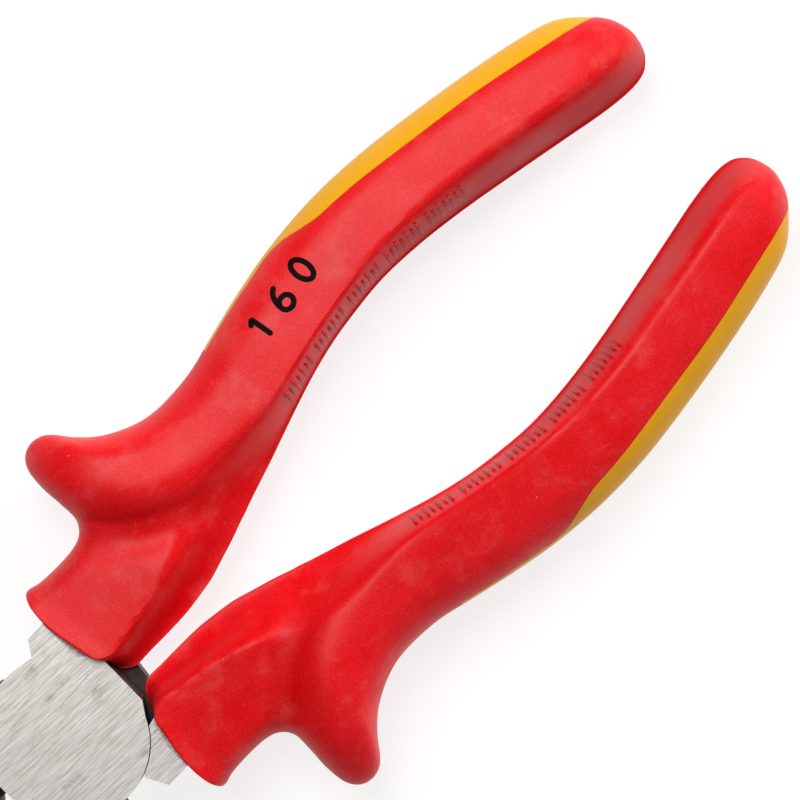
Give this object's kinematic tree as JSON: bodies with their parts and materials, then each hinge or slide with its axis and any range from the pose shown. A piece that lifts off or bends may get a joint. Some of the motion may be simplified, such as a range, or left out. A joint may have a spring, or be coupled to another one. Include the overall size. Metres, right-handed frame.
{
  "type": "lineman pliers",
  "caption": "Combination pliers with serrated nose, pipe grip and side cutters on a riveted lap joint, and insulated two-colour grips with thumb guards.",
  "frame": {"origin": "on the pivot axis, in the ground back face of the joint", "axes": "+X towards the jaw tips, +Y towards the back lever's handle, +Z out of the joint's front face"},
  "size_m": [0.1601, 0.065, 0.0184],
  "materials": {
    "lever_steel": "ground chrome-vanadium steel, satin, with dark forged edges",
    "rivet_steel": "ground flush with the plates",
    "yellow_insulation": "moulded matte yellow elastomer",
    "red_insulation": "moulded matte red elastomer with a fine grain",
    "black_print": "black pad-printed ink"
  },
  "bodies": {
    "back_half": {"back_lever": "lever_steel", "back_sleeve": "yellow_insulation", "back_grip": "red_insulation", "pivot_rivet": "rivet_steel"},
    "front_half": {"front_lever": "lever_steel", "front_sleeve": "yellow_insulation", "front_grip": "red_insulation"}
  },
  "joints": [
    {"name": "pivot", "type": "hinge", "parent": "back_half", "child": "front_half", "pos_m": [0, 0, 0], "axis": [0, 0, 1], "range_deg": [0, 25]}
  ]
}
